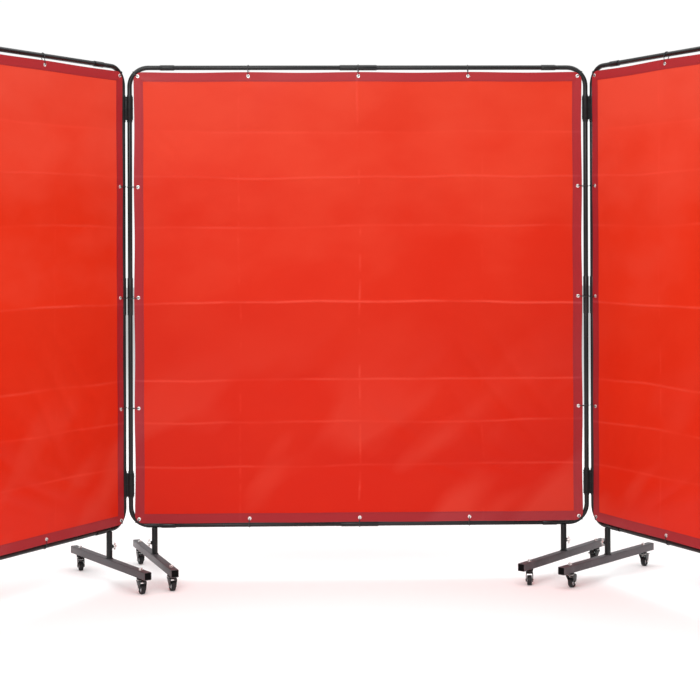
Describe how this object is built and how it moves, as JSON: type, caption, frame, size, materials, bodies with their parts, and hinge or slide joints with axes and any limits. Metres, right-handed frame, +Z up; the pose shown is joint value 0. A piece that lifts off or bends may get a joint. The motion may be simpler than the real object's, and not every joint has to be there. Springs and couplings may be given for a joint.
{
  "type": "welding curtain screen",
  "caption": "Rolling folding welding screen: black tube frames with hinged wings, red vinyl curtains tied inside, and swivelling beam feet on casters.",
  "frame": {"origin": "middle of the whole screen's plan on the floor, with the wings folded as modelled", "axes": "+Z up, +X along the centre panel to the right, and the wings fold towards -Y"},
  "size_m": [4.1648, 2.0478, 2.0671],
  "materials": {
    "frame_paint": "semi-gloss black paint on steel tube",
    "vinyl": "glossy red PVC sheet with a darker hem",
    "clip_plastic": "dark moulded plastic",
    "hammered_paint": "dark brownish grey hammered paint on steel",
    "zinc": "bright zinc plate",
    "fork_plastic": "black moulded plastic",
    "wheel_rubber": "black rubber-like tread with a bright hub",
    "pedal_plastic": "black moulded plastic"
  },
  "bodies": {
    "centre_panel": {"centre_frame_upper": "frame_paint", "centre_frame_lower_left": "frame_paint", "centre_frame_lower_right": "frame_paint", "centre_curtain": "vinyl"},
    "left_clips": {"left_clip_top": "clip_plastic", "left_clip_bottom": "clip_plastic"},
    "left_wing": {"left_frame_upper": "frame_paint", "left_frame_lower_left": "frame_paint", "left_frame_lower_right": "frame_paint", "left_curtain": "vinyl"},
    "right_clips": {"right_clip_top": "clip_plastic", "right_clip_bottom": "clip_plastic"},
    "right_wing": {"right_frame_upper": "frame_paint", "right_frame_lower_left": "frame_paint", "right_frame_lower_right": "frame_paint", "right_curtain": "vinyl"},
    "centre_left_foot": {"centre_left_foot": "hammered_paint"},
    "centre_left_lock": {"centre_left_lock_screw": "zinc"},
    "centre_left_front_caster": {"centre_left_front_fork": "fork_plastic"},
    "centre_left_front_wheel": {"centre_left_front_wheel": "wheel_rubber"},
    "centre_left_rear_caster": {"centre_left_rear_fork": "fork_plastic"},
    "centre_left_rear_wheel": {"centre_left_rear_wheel": "wheel_rubber"},
    "centre_left_pedal": {"centre_left_brake_pedal": "pedal_plastic"},
    "centre_right_foot": {"centre_right_foot": "hammered_paint"},
    "centre_right_lock": {"centre_right_lock_screw": "zinc"},
    "centre_right_front_caster": {"centre_right_front_fork": "fork_plastic"},
    "centre_right_front_wheel": {"centre_right_front_wheel": "wheel_rubber"},
    "centre_right_rear_caster": {"centre_right_rear_fork": "fork_plastic"},
    "centre_right_rear_wheel": {"centre_right_rear_wheel": "wheel_rubber"},
    "centre_right_pedal": {"centre_right_brake_pedal": "pedal_plastic"},
    "left_inner_foot": {"left_inner_foot": "hammered_paint"},
    "left_inner_lock": {"left_inner_lock_screw": "zinc"},
    "left_inner_front_caster": {"left_inner_front_fork": "fork_plastic"},
    "left_inner_front_wheel": {"left_inner_front_wheel": "wheel_rubber"},
    "left_inner_rear_caster": {"left_inner_rear_fork": "fork_plastic"},
    "left_inner_rear_wheel": {"left_inner_rear_wheel": "wheel_rubber"},
    "left_inner_pedal": {"left_inner_brake_pedal": "pedal_plastic"},
    "left_outer_foot": {"left_outer_foot": "hammered_paint"},
    "left_outer_lock": {"left_outer_lock_screw": "zinc"},
    "left_outer_front_caster": {"left_outer_front_fork": "fork_plastic"},
    "left_outer_front_wheel": {"left_outer_front_wheel": "wheel_rubber"},
    "left_outer_rear_caster": {"left_outer_rear_fork": "fork_plastic"},
    "left_outer_rear_wheel": {"left_outer_rear_wheel": "wheel_rubber"},
    "left_outer_pedal": {"left_outer_brake_pedal": "pedal_plastic"},
    "right_inner_foot": {"right_inner_foot": "hammered_paint"},
    "right_inner_lock": {"right_inner_lock_screw": "zinc"},
    "right_inner_front_caster": {"right_inner_front_fork": "fork_plastic"},
    "right_inner_front_wheel": {"right_inner_front_wheel": "wheel_rubber"},
    "right_inner_rear_caster": {"right_inner_rear_fork": "fork_plastic"},
    "right_inner_rear_wheel": {"right_inner_rear_wheel": "wheel_rubber"},
    "right_inner_pedal": {"right_inner_brake_pedal": "pedal_plastic"},
    "right_outer_foot": {"right_outer_foot": "hammered_paint"},
    "right_outer_lock": {"right_outer_lock_screw": "zinc"},
    "right_outer_front_caster": {"right_outer_front_fork": "fork_plastic"},
    "right_outer_front_wheel": {"right_outer_front_wheel": "wheel_rubber"},
    "right_outer_rear_caster": {"right_outer_rear_fork": "fork_plastic"},
    "right_outer_rear_wheel": {"right_outer_rear_wheel": "wheel_rubber"},
    "right_outer_pedal": {"right_outer_brake_pedal": "pedal_plastic"}
  },
  "joints": [
    {"name": "left_clip_turn", "type": "hinge", "parent": "centre_panel", "child": "left_clips", "pos_m": [-0.85298, 0.71274, 0], "axis": [0, 0, 1], "range_deg": [-20, 5]},
    {"name": "left_wing_fold", "type": "hinge", "parent": "left_clips", "child": "left_wing", "pos_m": [-0.88048, 0.71274, 0], "axis": [0, 0, 1], "range_deg": [-43, 6]},
    {"name": "right_clip_turn", "type": "hinge", "parent": "centre_panel", "child": "right_clips", "pos_m": [0.99702, 0.71274, 0], "axis": [0, 0, -1], "range_deg": [-20, 12]},
    {"name": "right_wing_fold", "type": "hinge", "parent": "right_clips", "child": "right_wing", "pos_m": [1.02452, 0.71274, 0], "axis": [0, 0, -1], "range_deg": [-33, 14]},
    {"name": "centre_left_foot_swivel", "type": "hinge", "parent": "centre_panel", "child": "centre_left_foot", "pos_m": [-0.75798, 0.71274, 0], "axis": [0, 0, 1], "range_deg": [-10, 20]},
    {"name": "centre_left_lock_turn", "type": "hinge", "parent": "centre_left_foot", "child": "centre_left_lock", "pos_m": [-0.75798, 0.71274, 0.136], "axis": [-0.9421, -0.3355, 0], "range_deg": [0, 720]},
    {"name": "centre_left_front_caster_swivel", "type": "hinge", "parent": "centre_left_foot", "child": "centre_left_front_caster", "pos_m": [-0.66908, 0.46309, 0], "axis": [0, 0, 1], "continuous": true},
    {"name": "centre_left_front_wheel_spin", "type": "hinge", "parent": "centre_left_front_caster", "child": "centre_left_front_wheel", "pos_m": [-0.66274, 0.4495, 0.01932], "axis": [0.9063, 0.4226, 0], "continuous": true},
    {"name": "centre_left_rear_caster_swivel", "type": "hinge", "parent": "centre_left_foot", "child": "centre_left_rear_caster", "pos_m": [-0.84687, 0.96238, 0], "axis": [0, 0, 1], "continuous": true},
    {"name": "centre_left_rear_wheel_spin", "type": "hinge", "parent": "centre_left_rear_caster", "child": "centre_left_rear_wheel", "pos_m": [-0.84174, 0.94829, 0.01932], "axis": [0.9397, 0.342, 0], "continuous": true},
    {"name": "centre_left_brake_press", "type": "hinge", "parent": "centre_left_rear_caster", "child": "centre_left_pedal", "pos_m": [-0.83781, 0.93748, 0.0435], "axis": [0.9397, 0.342, 0], "range_deg": [0, 25]},
    {"name": "centre_right_foot_swivel", "type": "hinge", "parent": "centre_panel", "child": "centre_right_foot", "pos_m": [0.90202, 0.71274, 0], "axis": [0, 0, -1], "range_deg": [-15, 20]},
    {"name": "centre_right_lock_turn", "type": "hinge", "parent": "centre_right_foot", "child": "centre_right_lock", "pos_m": [0.90202, 0.71274, 0.136], "axis": [0.7694, -0.6388, 0], "range_deg": [0, 720]},
    {"name": "centre_right_front_caster_swivel", "type": "hinge", "parent": "centre_right_foot", "child": "centre_right_front_caster", "pos_m": [0.73275, 0.50884, 0], "axis": [0, 0, 1], "continuous": true},
    {"name": "centre_right_front_wheel_spin", "type": "hinge", "parent": "centre_right_front_caster", "child": "centre_right_front_wheel", "pos_m": [0.73118, 0.49393, 0.01932], "axis": [0.9945, -0.1045, 0], "continuous": true},
    {"name": "centre_right_rear_caster_swivel", "type": "hinge", "parent": "centre_right_foot", "child": "centre_right_rear_caster", "pos_m": [1.0713, 0.91663, 0], "axis": [0, 0, 1], "continuous": true},
    {"name": "centre_right_rear_wheel_spin", "type": "hinge", "parent": "centre_right_rear_caster", "child": "centre_right_rear_wheel", "pos_m": [1.06165, 0.90514, 0.01932], "axis": [0.766, -0.6428, 0], "continuous": true},
    {"name": "centre_right_brake_press", "type": "hinge", "parent": "centre_right_rear_caster", "child": "centre_right_pedal", "pos_m": [1.05426, 0.89633, 0.0435], "axis": [0.766, -0.6428, 0], "range_deg": [0, 25]},
    {"name": "left_inner_foot_swivel", "type": "hinge", "parent": "left_wing", "child": "left_inner_foot", "pos_m": [-0.93012, 0.63174, 0], "axis": [0, 0, -1], "range_deg": [-10, 20]},
    {"name": "left_inner_lock_turn", "type": "hinge", "parent": "left_inner_foot", "child": "left_inner_lock", "pos_m": [-0.93012, 0.63174, 0.136], "axis": [0.8281, 0.5606, 0], "range_deg": [0, 720]},
    {"name": "left_inner_front_caster_swivel", "type": "hinge", "parent": "left_inner_foot", "child": "left_inner_front_caster", "pos_m": [-0.78155, 0.4123, 0], "axis": [0, 0, 1], "continuous": true},
    {"name": "left_inner_front_wheel_spin", "type": "hinge", "parent": "left_inner_front_caster", "child": "left_inner_front_wheel", "pos_m": [-0.7745, 0.39905, 0.01932], "axis": [0.8829, 0.4695, 0], "continuous": true},
    {"name": "left_inner_rear_caster_swivel", "type": "hinge", "parent": "left_inner_foot", "child": "left_inner_rear_caster", "pos_m": [-1.07868, 0.85117, 0], "axis": [0, 0, 1], "continuous": true},
    {"name": "left_inner_rear_wheel_spin", "type": "hinge", "parent": "left_inner_rear_caster", "child": "left_inner_rear_wheel", "pos_m": [-1.0748, 0.83668, 0.01932], "axis": [0.9659, 0.2588, 0], "continuous": true},
    {"name": "left_inner_brake_press", "type": "hinge", "parent": "left_inner_rear_caster", "child": "left_inner_pedal", "pos_m": [-1.07183, 0.82557, 0.0435], "axis": [0.9659, 0.2588, 0], "range_deg": [0, 25]},
    {"name": "left_outer_foot_swivel", "type": "hinge", "parent": "left_wing", "child": "left_outer_foot", "pos_m": [-1.79746, -0.78365, 0], "axis": [0, 0, 1], "continuous": true},
    {"name": "left_outer_lock_turn", "type": "hinge", "parent": "left_outer_foot", "child": "left_outer_lock", "pos_m": [-1.79746, -0.78365, 0.136], "axis": [-0.5225, -0.8526, 0], "range_deg": [0, 720]},
    {"name": "left_outer_front_caster_swivel", "type": "hinge", "parent": "left_outer_foot", "child": "left_outer_front_caster", "pos_m": [-1.57151, -0.92211, 0], "axis": [0, 0, 1], "continuous": true},
    {"name": "left_outer_front_wheel_spin", "type": "hinge", "parent": "left_outer_front_caster", "child": "left_outer_front_wheel", "pos_m": [-1.56291, -0.9344, 0.01932], "axis": [0.8192, 0.5736, 0], "continuous": true},
    {"name": "left_outer_rear_caster_swivel", "type": "hinge", "parent": "left_outer_foot", "child": "left_outer_rear_caster", "pos_m": [-2.02341, -0.64519, 0], "axis": [0, 0, 1], "continuous": true},
    {"name": "left_outer_rear_wheel_spin", "type": "hinge", "parent": "left_outer_rear_caster", "child": "left_outer_rear_wheel", "pos_m": [-2.01042, -0.65269, 0.01932], "axis": [0.5, 0.866, 0], "continuous": true},
    {"name": "left_outer_brake_press", "type": "hinge", "parent": "left_outer_rear_caster", "child": "left_outer_pedal", "pos_m": [-2.00046, -0.65844, 0.0435], "axis": [0.5, 0.866, 0], "range_deg": [0, 25]},
    {"name": "right_inner_foot_swivel", "type": "hinge", "parent": "right_wing", "child": "right_inner_foot", "pos_m": [1.06557, 0.62706, 0], "axis": [0, 0, 1], "range_deg": [-15, 20]},
    {"name": "right_inner_lock_turn", "type": "hinge", "parent": "right_inner_foot", "child": "right_inner_lock", "pos_m": [1.06557, 0.62706, 0.136], "axis": [-0.7206, 0.6934, 0], "range_deg": [0, 720]},
    {"name": "right_inner_front_caster_swivel", "type": "hinge", "parent": "right_inner_foot", "child": "right_inner_front_caster", "pos_m": [0.88182, 0.43611, 0], "axis": [0, 0, 1], "continuous": true},
    {"name": "right_inner_front_wheel_spin", "type": "hinge", "parent": "right_inner_front_caster", "child": "right_inner_front_wheel", "pos_m": [0.89105, 0.44794, 0.01932], "axis": [-0.788, 0.6157, 0], "continuous": true},
    {"name": "right_inner_rear_caster_swivel", "type": "hinge", "parent": "right_inner_foot", "child": "right_inner_rear_caster", "pos_m": [1.24932, 0.81801, 0], "axis": [0, 0, 1], "continuous": true},
    {"name": "right_inner_rear_wheel_spin", "type": "hinge", "parent": "right_inner_rear_caster", "child": "right_inner_rear_wheel", "pos_m": [1.25792, 0.8303, 0.01932], "axis": [-0.8192, 0.5736, 0], "continuous": true},
    {"name": "right_inner_brake_press", "type": "hinge", "parent": "right_inner_rear_caster", "child": "right_inner_pedal", "pos_m": [1.26452, 0.83971, 0.0435], "axis": [-0.8192, 0.5736, 0], "range_deg": [0, 25]},
    {"name": "right_outer_foot_swivel", "type": "hinge", "parent": "right_wing", "child": "right_outer_foot", "pos_m": [1.78283, -0.86998, 0], "axis": [0, 0, 1], "continuous": true},
    {"name": "right_outer_lock_turn", "type": "hinge", "parent": "right_outer_foot", "child": "right_outer_lock", "pos_m": [1.78283, -0.86998, 0.136], "axis": [0.4321, -0.9018, 0], "range_deg": [0, 720]},
    {"name": "right_outer_front_caster_swivel", "type": "hinge", "parent": "right_outer_foot", "child": "right_outer_front_caster", "pos_m": [1.54385, -0.98448, 0], "axis": [0, 0, 1], "continuous": true},
    {"name": "right_outer_front_wheel_spin", "type": "hinge", "parent": "right_outer_front_caster", "child": "right_outer_front_wheel", "pos_m": [1.53635, -0.97149, 0.01932], "axis": [-0.866, -0.5, 0], "continuous": true},
    {"name": "right_outer_rear_caster_swivel", "type": "hinge", "parent": "right_outer_foot", "child": "right_outer_rear_caster", "pos_m": [2.02182, -0.75548, 0], "axis": [0, 0, 1], "continuous": true},
    {"name": "right_outer_rear_wheel_spin", "type": "hinge", "parent": "right_outer_rear_caster", "child": "right_outer_rear_wheel", "pos_m": [2.0257, -0.74099, 0.01932], "axis": [-0.9659, 0.2588, 0], "continuous": true},
    {"name": "right_outer_brake_press", "type": "hinge", "parent": "right_outer_rear_caster", "child": "right_outer_pedal", "pos_m": [2.02868, -0.72988, 0.0435], "axis": [-0.9659, 0.2588, 0], "range_deg": [0, 25]}
  ]
}
